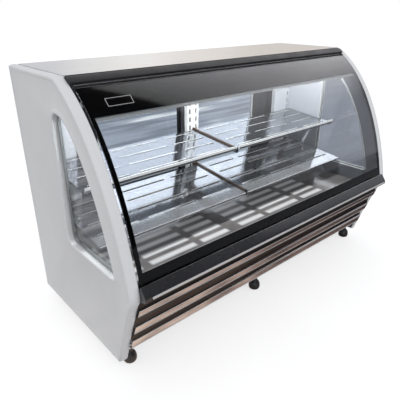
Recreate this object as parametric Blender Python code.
"""Refrigerated deli case with a lift-up curved front glass.

Metres, +Z up, +X to the right seen from the customer's side, front towards -Y.
The origin is on the floor, under the middle of the case.
Sections are drawn as (d, z): d is the depth from the rear face, z the height.
"""
import math

import bmesh
import bpy

# ---------------------------------------------------------------- driving sizes
WIDTH = 2.000            # over the end panels
DEPTH = 0.985            # rear face to the bumper's nose
HEIGHT = 1.302
REAR = DEPTH / 2         # y of the rear face
PANEL_T = 0.047          # end panel thickness
PANEL_Z0 = 0.069         # lower edge of the end panels
INNER = WIDTH / 2 - PANEL_T   # inner face of an end panel
GAP = 0.0003             # clearance between pieces that touch

# front curve of the case, a cubic from the top edge to the bumper
CURVE = ((0.503, 1.294), (0.7895, 1.1205), (0.9009, 0.7391), (0.950, 0.499))
GLASS_T = 0.006
HINGE = (0.5485, 1.2625)  # axis of the lift-up glass
GLASS_X = 0.944

DECK_Z = 0.450
TUB_FLOOR = 0.357
TUB_BASE = 0.315
SILL_Z = 0.500
TRAY_Z = 0.150

SHELF_SPAN = 0.940
SHELF_INNER = 0.0085
UPPER = ((0.163, 0.848), (0.540, 0.809))
LOWER = ((0.190, 0.6270), (0.623, 0.574))
UPPER_ROWS = (0.200, 0.296, 0.391, 0.4875)
LOWER_ROWS = (0.2475, 0.344, 0.441, 0.5375)
SLOT_COLUMNS = ((0.050, 0.265), (0.310, 0.625), (0.680, 0.905))
SLOT_W = 0.011

STANDARD_D = (0.118, 0.146)
SLOT_PITCH = 0.050
BRACKET_X = 0.9230

DOOR_W = 0.820
DOOR_Z = (0.5185, 1.2500)
DOOR_SIDE = 0.755         # the shut doors fill the way between the two posts, and lap at the middle
DOOR_STILES = (0.058, 0.150)  # by the mullion, and by the end panel, with the pull

FOOT_X = (-0.918, -0.040, 0.930)
FOOT_D = (0.120, 0.758)

for old in list(bpy.data.objects):
    bpy.data.objects.remove(old, do_unlink=True)

# ---------------------------------------------------------------- materials
FINISH = {
    "panel_white": ((0.62, 0.63, 0.64), 0.40, 0.0),
    "steel": ((0.72, 0.71, 0.70), 0.25, 1.0),
    "mirror_steel": ((0.80, 0.81, 0.83), 0.10, 1.0),
    "aluminium": ((0.75, 0.76, 0.77), 0.30, 1.0),
    "black_plastic": ((0.03, 0.03, 0.035), 0.35, 0.0),
    "dark_profile": ((0.07, 0.07, 0.075), 0.35, 0.6),
    "glass": ((0.85, 0.90, 0.92), 0.03, 0.0),
    "rubber_grey": ((0.12, 0.12, 0.13), 0.6, 0.0),
    "lamp_white": ((0.9, 0.9, 0.88), 0.4, 0.0),
    "foam": ((0.75, 0.70, 0.50), 0.9, 0.0),
    "white_paint": ((0.8, 0.8, 0.8), 0.4, 0.0),
    "dark_steel": ((0.10, 0.08, 0.07), 0.4, 0.7),
    "cast_black": ((0.02, 0.02, 0.02), 0.5, 0.2),
}


def material(name):
    found = bpy.data.materials.get(name)
    if found:
        return found
    colour, rough, metal = FINISH[name]
    made = bpy.data.materials.new(name)
    made.use_nodes = True
    bsdf = made.node_tree.nodes["Principled BSDF"]
    bsdf.inputs["Base Color"].default_value = (*colour, 1)
    bsdf.inputs["Roughness"].default_value = rough
    bsdf.inputs["Metallic"].default_value = metal
    return made


# ---------------------------------------------------------------- helpers
def Y(d):
    return REAR - d


def add(name, bm, finish, origin=(0, 0, 0), cutter=False, smooth=False):
    """The object that holds bm, whose coordinates are in world space, with its own origin."""
    bmesh.ops.recalc_face_normals(bm, faces=bm.faces)
    bmesh.ops.translate(bm, verts=bm.verts, vec=[-c for c in origin])
    mesh = bpy.data.meshes.new(name)
    bm.to_mesh(mesh)
    bm.free()
    obj = bpy.data.objects.new(name, mesh)
    obj.location = origin
    bpy.context.scene.collection.objects.link(obj)
    if cutter:
        obj.hide_render = True
        obj.display_type = "WIRE"
    else:
        own = material(finish).copy()
        own.name = name + "_material"
        mesh.materials.append(own)
    if smooth:
        mesh.shade_smooth()
        mesh.set_sharp_from_angle(angle=math.radians(35))
    return obj


def boolean(obj, other, operation="DIFFERENCE", solver="EXACT"):
    mod = obj.modifiers.new("cut_" + other.name, "BOOLEAN")
    mod.operation = operation
    mod.object = other
    mod.solver = solver
    return obj


def box_into(bm, x0, x1, d0, d1, z0, z1):
    corners = [(x, Y(d), z) for x in (x0, x1) for d in (d0, d1) for z in (z0, z1)]
    v = [bm.verts.new(c) for c in corners]
    for quad in ((0, 1, 3, 2), (4, 6, 7, 5), (0, 4, 5, 1), (2, 3, 7, 6), (0, 2, 6, 4), (1, 5, 7, 3)):
        bm.faces.new([v[i] for i in quad])


def box(name, x, d, z, finish, **more):
    bm = bmesh.new()
    box_into(bm, x[0], x[1], d[0], d[1], z[0], z[1])
    return add(name, bm, finish, **more)


def boxes(name, items, finish, **more):
    bm = bmesh.new()
    for x0, x1, d0, d1, z0, z1 in items:
        box_into(bm, x0, x1, d0, d1, z0, z1)
    return add(name, bm, finish, **more)


def loft(name, rings, finish, **more):
    """A body through rings of equal length, each (x, [(d, z), ...]), capped at both ends."""
    bm = bmesh.new()
    loops = [[bm.verts.new((x, Y(d), z)) for d, z in ring] for x, ring in rings]
    count = len(loops[0])
    for a, b in zip(loops, loops[1:]):
        for i in range(count):
            j = (i + 1) % count
            bm.faces.new((a[i], a[j], b[j], b[i]))
    bm.faces.new(loops[0])
    bm.faces.new(loops[-1])
    return add(name, bm, finish, **more)


def prism(name, section, x0, x1, finish, **more):
    return loft(name, ((x0, section), (x1, section)), finish, **more)


def turned(name, profile, centre, axis, finish, sides=16, **more):
    """A body turned about an axis: profile is [(radius, distance along the axis), ...], closed on the axis."""
    bm = bmesh.new()
    rings = []
    for r, h in profile:
        ring = []
        for i in range(sides if r > 1e-6 else 1):
            a = 2 * math.pi * i / sides
            u, v = r * math.cos(a), r * math.sin(a)
            p = {"X": (h, u, v), "Y": (v, h, u), "Z": (u, v, h)}[axis]
            ring.append(bm.verts.new([c + q for c, q in zip(centre, p)]))
        rings.append(ring)
    for a, b in zip(rings, rings[1:]):
        for i in range(sides):
            j = (i + 1) % sides
            if len(a) == 1 and len(b) > 1:
                bm.faces.new((a[0], b[i], b[j]))
            elif len(b) == 1 and len(a) > 1:
                bm.faces.new((a[i], a[j], b[0]))
            elif len(a) > 1:
                bm.faces.new((a[i], a[j], b[j], b[i]))
    for ring in (rings[0], rings[-1]):
        if len(ring) > 1:
            bm.faces.new(ring)
    return add(name, bm, finish, smooth=True, **more)


def curve(t):
    a, b, c, e = CURVE
    s = 1 - t
    return tuple(s**3 * a[k] + 3 * s * s * t * b[k] + 3 * s * t * t * c[k] + t**3 * e[k] for k in (0, 1))


def curve_normal(t):
    """The unit normal of the front curve, pointing out of the case."""
    (d0, z0), (d1, z1) = curve(max(t - 1e-3, 0)), curve(min(t + 1e-3, 1))
    length = math.hypot(d1 - d0, z1 - z0)
    return (-(z1 - z0) / length, (d1 - d0) / length)


def curve_at(target, axis):
    """The parameter where the front curve has this d (axis 0) or z (axis 1)."""
    low, high = 0.0, 1.0
    for _ in range(50):
        mid = (low + high) / 2
        inside = curve(mid)[0] < target if axis == 0 else curve(mid)[1] > target
        low, high = (mid, high) if inside else (low, mid)
    return (low + high) / 2


def offset_curve(t0, t1, count, inward):
    out = []
    for i in range(count):
        t = t0 + (t1 - t0) * i / (count - 1)
        (d, z), (nd, nz) = curve(t), curve_normal(t)
        out.append((d - nd * inward, z - nz * inward))
    return out


def sheet(path, thick):
    """The section of a bent sheet: path, and the same path offset to its right by thick."""
    normals = []
    for (a, b), (c, e) in zip(path, path[1:]):
        length = math.hypot(c - a, e - b)
        normals.append(((e - b) / length, -(c - a) / length))
    other = []
    for i, (d, z) in enumerate(path):
        n0 = normals[max(i - 1, 0)]
        n1 = normals[min(i, len(normals) - 1)]
        scale = 1 + n0[0] * n1[0] + n0[1] * n1[1]
        other.append((d + thick * (n0[0] + n1[0]) / scale, z + thick * (n0[1] + n1[1]) / scale))
    return list(path) + other[::-1]


def inset(points, amount):
    """A closed outline (clockwise in d, z) moved inwards."""
    n = len(points)
    area = sum(points[i][0] * points[(i + 1) % n][1] - points[(i + 1) % n][0] * points[i][1] for i in range(n))
    side = 1 if area > 0 else -1
    out = []
    for i in range(n):
        (a, b), (c, e), (g, h) = points[i - 1], points[i], points[(i + 1) % n]
        l0, l1 = math.hypot(c - a, e - b), math.hypot(g - c, h - e)
        n0 = (-(e - b) / l0 * side, (c - a) / l0 * side)
        n1 = (-(h - e) / l1 * side, (g - c) / l1 * side)
        scale = max(1 + n0[0] * n1[0] + n0[1] * n1[1], 0.4)
        out.append((c + amount * (n0[0] + n1[0]) / scale, e + amount * (n0[1] + n1[1]) / scale))
    return out


def rounded(corners, steps=3):
    """An outline through (d, z, radius) corners, each rounded with an arc."""
    out = []
    n = len(corners)
    for i in range(n):
        px, pz, _ = corners[i - 1]
        cx, cz, r = corners[i]
        qx, qz, _ = corners[(i + 1) % n]
        if r <= 0:
            out.append((cx, cz))
            continue
        la, lb = math.hypot(px - cx, pz - cz), math.hypot(qx - cx, qz - cz)
        ua, ub = ((px - cx) / la, (pz - cz) / la), ((qx - cx) / lb, (qz - cz) / lb)
        half = math.acos(max(-1, min(1, ua[0] * ub[0] + ua[1] * ub[1]))) / 2
        reach = r / math.tan(half)
        a = (cx + ua[0] * reach, cz + ua[1] * reach)
        b = (cx + ub[0] * reach, cz + ub[1] * reach)
        for k in range(steps + 1):
            s = k / steps
            out.append((
                (1 - s) ** 2 * a[0] + 2 * s * (1 - s) * cx + s * s * b[0],
                (1 - s) ** 2 * a[1] + 2 * s * (1 - s) * cz + s * s * b[1],
            ))
    return out


def front_slope(z):
    """Depth of the end panels' front edge below the bumper."""
    if z > 0.213:
        return 0.848 + (z - 0.213) * (0.929 - 0.848) / (0.436 - 0.213)
    return 0.804 + (z - PANEL_Z0) * (0.848 - 0.804) / (0.213 - PANEL_Z0)


# ---------------------------------------------------------------- end panels
outline = [(0.0, PANEL_Z0), (0.0, HEIGHT), (0.470, HEIGHT)]
outline += [curve(i / 14) for i in range(15)]
outline += [(0.9475, 0.470), (front_slope(0.436), 0.436), (front_slope(0.213), 0.213), (front_slope(PANEL_Z0), PANEL_Z0)]
outline[3] = (0.497, 1.2965)
WINDOW_REAR, WINDOW_LOW, WINDOW_SET = 0.416, 0.533, 0.107


def window_outline(along, steps):
    """Rear edge upright, front edge a fixed distance inside the case's front curve, corners rounded."""
    def arc(p, q, r):
        return [tuple((1 - k / steps) ** 2 * p[i] + 2 * (k / steps) * (1 - k / steps) * q[i] + (k / steps) ** 2 * r[i] for i in (0, 1))
                for k in range(steps + 1)]
    t_top, t_low = 0.150, 0.880
    front = offset_curve(t_top, t_low, along, WINDOW_SET)
    low = front[-1]
    corner = (low[0] + 0.0125, WINDOW_LOW)
    pts = arc((WINDOW_REAR + 0.050, WINDOW_LOW), (WINDOW_REAR, WINDOW_LOW), (WINDOW_REAR, WINDOW_LOW + 0.050))
    pts += arc((WINDOW_REAR, 1.085), (WINDOW_REAR + 0.003, 1.192), front[0])
    pts += front[1:-1]
    pts += arc(low, corner, (corner[0] - 0.042, WINDOW_LOW))
    return pts


window = window_outline(9, 3)


def end_panel(name, side):
    x_in, x_mid, x_out = side * INNER, side * (WIDTH / 2 - 0.010), side * WIDTH / 2
    panel = loft(name, ((x_in, outline), (x_mid, outline), (x_out, inset(outline, 0.006))), "panel_white", smooth=True)
    hole = prism(name + "_window_cutter", window, side * (INNER - 0.02), side * (WIDTH / 2 + 0.02), None, cutter=True)
    return boolean(panel, hole)


def window_parts(tag, side):
    x0, x1 = side * (INNER + 0.004), side * (INNER + 0.020)
    gasket = prism(tag + "_window_gasket", inset(window, GAP), x0, x1, "rubber_grey")
    cut = prism(tag + "_gasket_cutter", inset(window, 0.012), side * (INNER - 0.01), side * (WIDTH / 2), None, cutter=True)
    boolean(gasket, cut)
    prism(tag + "_window_pane", inset(window, 0.012 + GAP), side * (INNER + 0.007), side * (INNER + 0.017), "glass")


end_panel("left_end_panel", -1)
end_panel("right_end_panel", 1)
window_parts("left", -1)
window_parts("right", 1)

# ---------------------------------------------------------------- top
X_IN = INNER - GAP
TOP_T = 0.003
prism("top_panel", sheet([(0.4995, 1.274), (0.5005, HEIGHT), (0.001, HEIGHT), (0.001, 1.262)], -TOP_T)[::-1],
      -X_IN, X_IN, "steel")
prism("top_trim_profile",
      [(0.5045, 1.300), (0.512, 1.2995), (0.530, 1.289), (0.5430, 1.2790), (0.5405, 1.2715), (0.530, 1.268), (0.5045, 1.274)],
      -X_IN, X_IN, "dark_profile")

# the lamp's canopy: a bent reflector behind the glass's dark band, with its two sockets
band_end = curve_at(1.160, 1)
band_top = curve_at(0.575, 0)
canopy_path = [(0.4640, 1.2720), (0.4640, 1.2660), (0.5300, 1.2660)] + offset_curve(band_top, band_end, 5, 0.018)
canopy = prism("lamp_canopy", sheet(canopy_path, 0.0025), -0.930, 0.930, "white_paint")
LAMP = (0.5560, 1.1990)
sockets = boxes("socket_union", [(s * 0.905 - 0.011, s * 0.905 + 0.011, 0.536, 0.5815, 1.180, 1.2175) for s in (-1, 1)], None, cutter=True)
boolean(canopy, sockets, "UNION")
boolean(canopy, boxes("socket_hole", [(s * 0.897 - 0.004, s * 0.897 + 0.004, LAMP[0] - 0.0135, LAMP[0] + 0.0135, LAMP[1] - 0.0135, LAMP[1] + 0.0135) for s in (-1, 1)], None, cutter=True))
turned("lamp_tube", [(0.0, -0.8925), (0.011, -0.8925), (0.0125, -0.885), (0.0125, 0.885), (0.011, 0.8925), (0.0, 0.8925)],
       (0, Y(LAMP[0]), LAMP[1]), "X", "lamp_white", sides=12)
rail_d, rail_z = offset_curve(band_end, band_end + 0.001, 2, 0.012)[0]
rail_z -= 0.0045
prism("lamp_rail", [(rail_d - 0.016, rail_z - 0.0075), (rail_d + 0.0045, rail_z - 0.0075), (rail_d + 0.0025, rail_z + 0.0005),
                    (rail_d - 0.0075, rail_z - 0.0045), (rail_d - 0.016, rail_z - 0.0045)], -0.930, 0.930, "aluminium")

# ---------------------------------------------------------------- lift-up front glass
glass_top = curve_at(0.5560, 0)
glass_foot = curve_at(0.5330, 1)
outer = offset_curve(glass_top, glass_foot, 15, 0.0)
inner_face = offset_curve(glass_top, glass_foot, 15, GLASS_T)
prism("front_glass", outer + inner_face[::-1], -GLASS_X, GLASS_X, "glass", origin=(0, Y(HINGE[0]), HINGE[1]), smooth=True)
turned("glass_hinge_rail", [(0.0048, -GLASS_X), (0.0048, GLASS_X)], (0, Y(HINGE[0]), HINGE[1]), "X", "dark_profile",
       sides=10, origin=(0, Y(HINGE[0]), HINGE[1]))

# ---------------------------------------------------------------- bumper
prism("bumper_profile",
      [(0.908, 0.462), (0.908, 0.536), (0.9285, 0.536), (0.9285, 0.5285), (0.9475, 0.5285), (0.9475, 0.540), (0.953, 0.5405),
       (0.9755, 0.512), (0.9825, 0.5005), (0.9825, 0.4845), (0.979, 0.4785), (0.933, 0.4600)],
      -X_IN, X_IN, "black_plastic", smooth=True)
prism("bumper_strip", [(0.9828, 0.4860), (0.9828, 0.4990), (DEPTH, 0.4980), (DEPTH, 0.4870)], -0.918, 0.935, "aluminium")

# ---------------------------------------------------------------- front panels
BANDS = ((0.413, 0.378), (0.303, 0.258), (0.200, 0.152))
rib_path = [(front_slope(0.455) - 0.012, 0.4580)]


def groove(z_top, z_low, deep=0.016, steps=4):
    out = []
    for i in range(1, steps):
        s = i / steps
        z = z_top + (z_low - z_top) * s
        out.append((front_slope(z) + 0.012 - deep * math.sin(math.pi * s) ** 0.6, z))
    return out


last = 0.4440
rib_path.append((front_slope(last) - 0.006, last))
for k, (high, low) in enumerate(BANDS):
    if k:
        rib_path += groove(last, high)
    rib_path += [(front_slope(high) + 0.012, high), (front_slope(low) + 0.012, low)]
    last = low
rib_path += [(front_slope(0.150) - 0.004, 0.1495)]
prism("front_ribbed_panel", sheet(rib_path, 0.0015), -X_IN, X_IN, "steel", smooth=True)
# ---------------------------------------------------------------- insulated tub
tub_front = 0.0290   # the foam starts this far behind the slope line
foam_front = [(front_slope(z) - tub_front, z) for z in (0.4550, 0.330, TUB_BASE)]
liner_path = [(0.148, SILL_Z - 0.0005), (0.148, TUB_FLOOR), (0.845, TUB_FLOOR), (0.8750, 0.4570), (0.8950, 0.5300), (0.9074, 0.5300)]
liner = sheet(liner_path, -0.002)
prism("tub_inner_liner", liner, -X_IN, X_IN, "steel")
prism("tub_insulation",
      [(0.0480, TUB_BASE), (0.0480, SILL_Z), (0.1477, SILL_Z), (0.1477, TUB_FLOOR - GAP), (0.8452, TUB_FLOOR - GAP),
       (0.8755, 0.4568), (0.8952, 0.5290), (0.9075, 0.5290), (0.9075, 0.4560)] + foam_front,
      -X_IN, X_IN, "foam")

# ---------------------------------------------------------------- deck pans (lift out)
for tag, x0, x1 in (("left", -SHELF_SPAN, -0.001), ("right", 0.001, SHELF_SPAN)):
    prism("deck_pan_" + tag, sheet([(0.158, DECK_Z - 0.018), (0.158, DECK_Z), (0.860, DECK_Z), (0.860, DECK_Z - 0.018)], 0.002),
          x0, x1, "mirror_steel", origin=((x0 + x1) / 2, Y(0.51), DECK_Z))

# ---------------------------------------------------------------- shelf standards, brackets, shelves


def standard(name, x0, x1, columns):
    d0, d1 = STANDARD_D
    t = 0.002
    bm = bmesh.new()
    z0, z1 = SILL_Z + GAP, 1.2715
    section = [(x0, d0), (x0, d1), (x1, d1), (x1, d0), (x1 - t, d0), (x1 - t, d1 - t), (x0 + t, d1 - t), (x0 + t, d0)]
    low = [bm.verts.new((x, Y(d), z0)) for x, d in section]
    top = [bm.verts.new((x, Y(d), z1)) for x, d in section]
    for i in range(8):
        j = (i + 1) % 8
        bm.faces.new((low[i], low[j], top[j], top[i]))
    bm.faces.new(low)
    bm.faces.new(top)
    post = add(name, bm, "white_paint")
    items = []
    z = 0.560
    while z < 1.235:
        items += [(c - 0.0060, c + 0.0060, d1 - 0.01, d1 + 0.01, z - 0.0155, z + 0.0155) for c in columns]
        z += SLOT_PITCH
    boolean(post, boxes(name + "_slots", items, None, cutter=True))


standard("shelf_standard_centre", -0.044, 0.044, (-0.024, 0.024))
# the end ones are the white sheets beside the rear opening, each with one row of slots
standard("shelf_standard_left", -0.946, -0.780, (-BRACKET_X,))
standard("shelf_standard_right", 0.780, 0.946, (BRACKET_X,))


def shelf_line(ends, d, drop):
    (d0, z0), (d1, z1) = ends
    return z0 + (z1 - z0) * (d - d0) / (d1 - d0) - drop


def bracket(name, ends, x, half):
    back, tip = STANDARD_D[1] + GAP, ends[1][0] - 0.008

    def top(d, drop):
        return shelf_line(ends, d, drop)

    def blade(drop, end_depth, back_depth):
        return [(back, top(back, drop)), (tip, top(tip, drop)), (tip, top(tip, 0.0023) - end_depth),
                (back + 0.09, top(back, 0.0023) - back_depth + 0.008), (back, top(back, 0.0023) - back_depth)]

    if half < 0.005:
        return prism(name, blade(0.0023, 0.012, 0.066), x - half, x + half, "dark_steel")
    # the middle bracket stands up between the two shelves and carries each on a ledge
    made = prism(name, blade(-0.0100, 0.012, 0.066), x - half, x + half, "dark_steel")
    ledge = [(back, top(back, 0.0023)), (tip, top(tip, 0.0023)), (tip, top(tip, 0.0058)), (back, top(back, 0.0058))]
    return boolean(made, prism(name + "_ledge", ledge, x - 0.016, x + 0.016, None, cutter=True), "UNION")


def shelf(name, ends, rows, side, lip_up, lip_down):
    (d0, z0), (d1, z1) = ends
    slope = (z1 - z0) / (d1 - d0)
    path = [(d0, z0), (d1, z1)]
    if lip_up:
        path += [(d1 + 0.001, z1 + lip_up)]
        outline_ = sheet(path, 0.002)
    else:
        path += [(d1, z1 - lip_down)]
        outline_ = sheet(path, 0.002)
    x0, x1 = sorted((side * SHELF_INNER, side * SHELF_SPAN))
    plate = prism(name, outline_, x0, x1, "mirror_steel", origin=((x0 + x1) / 2, Y((d0 + d1) / 2), (z0 + z1) / 2))
    items = []
    for row in rows:
        z = z0 + slope * (row - d0)
        for a, b in SLOT_COLUMNS:
            lo, hi = sorted((side * a, side * b))
            items.append((lo, hi, row - SLOT_W / 2, row + SLOT_W / 2, z - 0.01, z + 0.01))
    boolean(plate, boxes(name + "_slots", items, None, cutter=True))


for tag, x, half in (("left", -BRACKET_X, 0.002), ("centre", 0.0, 0.006), ("right", BRACKET_X, 0.002)):
    bracket("bracket_upper_" + tag, UPPER, x, half)
    bracket("bracket_lower_" + tag, LOWER, x, half)
for tag, side in (("left", -1), ("right", 1)):
    shelf("shelf_upper_" + tag, UPPER, UPPER_ROWS, side, 0.024, 0)
    shelf("shelf_lower_" + tag, LOWER, LOWER_ROWS, side, 0, 0.014)

# ---------------------------------------------------------------- rear sliding doors
TRACK_D = (0.026, 0.094)
boolean(box("door_track_bottom", (-X_IN, X_IN), TRACK_D, (SILL_Z + GAP, 0.5240), "dark_profile"),
        boxes("bottom_grooves", [(-1, 1, d - 0.0110, d + 0.0110, 0.5150, 0.53) for d in (0.042, 0.074)], None, cutter=True))
# the two posts at the ends of the rear opening are one frame with the lower track
for x0, x1 in ((-X_IN, -DOOR_SIDE - 0.0025), (DOOR_SIDE + 0.0025, X_IN)):
    boolean(bpy.data.objects["door_track_bottom"],
            box("post_%d" % (x0 > 0), (x0, x1), TRACK_D, (SILL_Z + GAP, 1.2337), None, cutter=True), "UNION")
boolean(box("door_track_top", (-X_IN, X_IN), TRACK_D, (1.2340, 1.2700), "dark_profile"),
        boxes("top_grooves", [(-1, 1, d - 0.0110, d + 0.0110, 1.22, 1.2560) for d in (0.042, 0.074)], None, cutter=True))


def door(tag, x0, d):
    x1 = x0 + DOOR_W
    z0, z1 = DOOR_Z
    half = 0.009
    where = (x0 + DOOR_W / 2, Y(d), (z0 + z1) / 2)
    frame = box("rear_door_%s_frame" % tag, (x0, x1), (d - half, d + half), (z0, z1), "black_plastic", origin=where)
    rail = 0.045
    wide, narrow = DOOR_STILES[1], DOOR_STILES[0]
    left_stile, right_stile = (narrow, wide) if tag == "right" else (wide, narrow)
    pane = (x0 + left_stile, x1 - right_stile, z0 + rail, z1 - rail)
    cut = [(pane[0], pane[1], d - 0.05, d + 0.05, pane[2], pane[3])]
    pull = x1 - 0.040 if tag == "right" else x0 + 0.040
    cut.append((pull - 0.014, pull + 0.014, d - half - 0.01, d - half + 0.010, 0.840, 0.960))
    boolean(frame, boxes("door_%s_cutter" % tag, cut, None, cutter=True))
    box("rear_door_%s_glass" % tag, (pane[0] + GAP, pane[1] - GAP), (d - 0.005, d + 0.005), (pane[2] + GAP, pane[3] - GAP),
        "glass", origin=where)


door("left", -DOOR_SIDE, 0.042)
door("right", DOOR_SIDE - DOOR_W, 0.074)
box("centre_mullion", (-0.060, 0.060), (0.0990, 0.1175), (SILL_Z + GAP, 1.2715), "black_plastic")

# ---------------------------------------------------------------- base
base = box("base_tray", (-X_IN, X_IN), (0.020, 0.812), (0.122, TRAY_Z), "white_paint")
upstand = prism("base_front_wall", sheet([(front_slope(z) - 0.0250, z) for z in (0.4560, 0.330, 0.213)] + [(0.8070, 0.1520), (0.8070, 0.1300)], 0.003),
                -X_IN, X_IN, None, cutter=True)
boolean(base, upstand, "UNION")
boolean(base, boxes("base_hollow", [(-X_IN + 0.003, X_IN - 0.003, 0.023, 0.809, 0.10, TRAY_Z - 0.003)], None, cutter=True))
stem_top = TRAY_Z - 0.003 - GAP
n = 0
for d in (FOOT_D[1], FOOT_D[0]):
    for x in FOOT_X:
        n += 1
        turned("foot_%d" % n,
               [(0.020, 0.0), (0.031, 0.006), (0.0335, 0.020), (0.0325, 0.036), (0.026, 0.050), (0.0165, 0.058), (0.0150, 0.064),
                (0.0150, 0.118), (0.019, 0.121), (0.019, stem_top)],
               (x, Y(d), 0), "Z", "black_plastic", sides=14, origin=(x, Y(d), 0))

# ---------------------------------------------------------------- rear service panel, controls, drip tray
panel = box("rear_service_panel", (-X_IN, X_IN), (0.0150, 0.0170), (0.1510, 0.4990), "panel_white")
DRIP = (0.180, 0.480, 0.1560, 0.2010)
cuts = [(DRIP[0] - 0.003, DRIP[1] + 0.003, 0.0, 0.03, DRIP[2] - 0.003, DRIP[3] + 0.003)]
for k in range(6):
    z = 0.190 + 0.020 * k
    cuts.append((-0.830, -0.510, 0.0, 0.03, z, z + 0.008))
for k in range(4):
    z = 0.225 + 0.020 * k
    cuts.append((0.540, 0.860, 0.0, 0.03, z, z + 0.008))
boolean(panel, boxes("panel_cutter", cuts, None, cutter=True))
# the power inlet is a socket for a detachable lead: a moulded frame standing out of the sheet, open to the rear
INLET = (-0.424, -0.370, 0.4120, 0.4460)
boolean(panel, boxes("inlet_frame", [(INLET[0], INLET[1], 0.0040, 0.0160, INLET[2], INLET[3])], None, cutter=True), "UNION")
boolean(panel, boxes("inlet_recess", [(INLET[0] + 0.010, INLET[1] - 0.010, -0.01, 0.0135, INLET[2] + 0.007, INLET[3] - 0.007)], None,
                     cutter=True))

HOUSING_X = (-0.280, -0.060)
BUTTON_X = (-0.150, -0.122)
ROCKER_X = -0.092
CONTROL_Z = 0.430
housing = box("controller_housing", HOUSING_X, (0.0025, 0.0147), (0.4000, 0.4600), "black_plastic")
items = [(x - 0.0073, x + 0.0073, -0.01, 0.0100, CONTROL_Z - 0.0073, CONTROL_Z + 0.0073) for x in BUTTON_X]
items.append((ROCKER_X - 0.0083, ROCKER_X + 0.0083, -0.01, 0.0130, CONTROL_Z - 0.0135, CONTROL_Z + 0.0135))
boolean(housing, boxes("housing_cutter", items, None, cutter=True))
for k, x in enumerate(BUTTON_X):
    box("controller_button_%s" % ("down", "up")[k], (x - 0.007, x + 0.007), (0.0008, 0.0080), (CONTROL_Z - 0.007, CONTROL_Z + 0.007),
        "rubber_grey", origin=(x, Y(0.0044), CONTROL_Z))
# the rocker stands tipped, its lower half in, and tips by 14 degrees
ROCKER_AXIS = (0.0085, CONTROL_Z)
tip = math.radians(7)
rocker = []
for a, b in ((-0.0040, -0.0110), (-0.0052, 0.0), (-0.0040, 0.0110), (0.0020, 0.0110), (0.0030, 0.0), (0.0020, -0.0110)):
    rocker.append((ROCKER_AXIS[0] + a * math.cos(tip) - b * math.sin(tip), ROCKER_AXIS[1] + a * math.sin(tip) + b * math.cos(tip)))
prism("light_switch_rocker", rocker, ROCKER_X - 0.008, ROCKER_X + 0.008, "black_plastic",
      origin=(ROCKER_X, Y(ROCKER_AXIS[0]), ROCKER_AXIS[1]))

tray = box("condensate_tray", DRIP[:2], (0.0120, 0.3200), DRIP[2:], "white_paint",
           origin=((DRIP[0] + DRIP[1]) / 2, Y(0.012), DRIP[2]))
boolean(tray, boxes("tray_hollow", [(DRIP[0] + 0.003, DRIP[1] - 0.003, 0.0150, 0.3170, DRIP[2] + 0.003, 0.25)], None, cutter=True))

# ---------------------------------------------------------------- refrigeration
turned("compressor",
       [(0.0, 0.0), (0.095, 0.0), (0.095, 0.004), (0.072, 0.014), (0.078, 0.050), (0.080, 0.085), (0.070, 0.122), (0.045, 0.140), (0.0, 0.146)],
       (0.700, Y(0.330), TRAY_Z + GAP), "Z", "cast_black", sides=18)
COND_X, COND_Z, COND_R = -0.670, 0.2350, 0.068
condenser = box("condenser_with_shroud", (COND_X - 0.150, COND_X + 0.150), (0.040, 0.1180), (TRAY_Z + GAP, 0.3120), "aluminium")
turned("shroud_hole", [(COND_R + 0.004, -0.1), (COND_R + 0.004, 0.0145)], (COND_X, Y(0.10), COND_Z), "Y", None, sides=18, cutter=True)
boolean(condenser, bpy.data.objects["shroud_hole"])


def fan(name, x, d, z, radius, depth, blades):
    """A blade wheel: a star outline carried straight along the axis, blades and hub as one."""
    hub = radius * 0.36
    bm = bmesh.new()
    rings = []
    for along in (-0.5, 0.5):
        ring = []
        for k in range(blades):
            middle = 2 * math.pi * k / blades
            for r, turn in ((hub, -0.50), (radius * 0.93, -0.34), (radius, 0.0), (radius * 0.93, 0.34), (hub, 0.50)):
                ring.append(bm.verts.new((x + r * math.sin(middle + turn), Y(d) + along * depth, z + r * math.cos(middle + turn))))
        rings.append(ring)
    for a, b in zip(rings, rings[1:]):
        for i in range(len(a)):
            j = (i + 1) % len(a)
            bm.faces.new((a[i], a[j], b[j], b[i]))
    bm.faces.new(rings[0])
    bm.faces.new(rings[-1])
    return add(name, bm, "cast_black", origin=(x, Y(d), z))


fan("condenser_fan", COND_X, 0.1015, COND_Z, COND_R, 0.026, 5)

EVAP_D, EVAP_Z = 0.300, 0.4015
box("evaporator_coil", (-0.700, 0.700), (0.360, 0.520), (TUB_FLOOR + 0.004, 0.4430), "aluminium")
plate = box("evaporator_fan_plate", (-0.900, 0.900), (0.290, 0.310), (TUB_FLOOR + 0.002 + GAP, 0.4430), "steel")
for k, x in (("left", -0.420), ("right", 0.420)):
    turned("evap_hole_" + k, [(0.0395, -0.05), (0.0395, 0.05)], (x, Y(EVAP_D), EVAP_Z), "Y", None, sides=16, cutter=True)
    boolean(plate, bpy.data.objects["evap_hole_" + k])
    fan("evaporator_fan_" + k, x, EVAP_D, EVAP_Z, 0.0366, 0.016, 5)
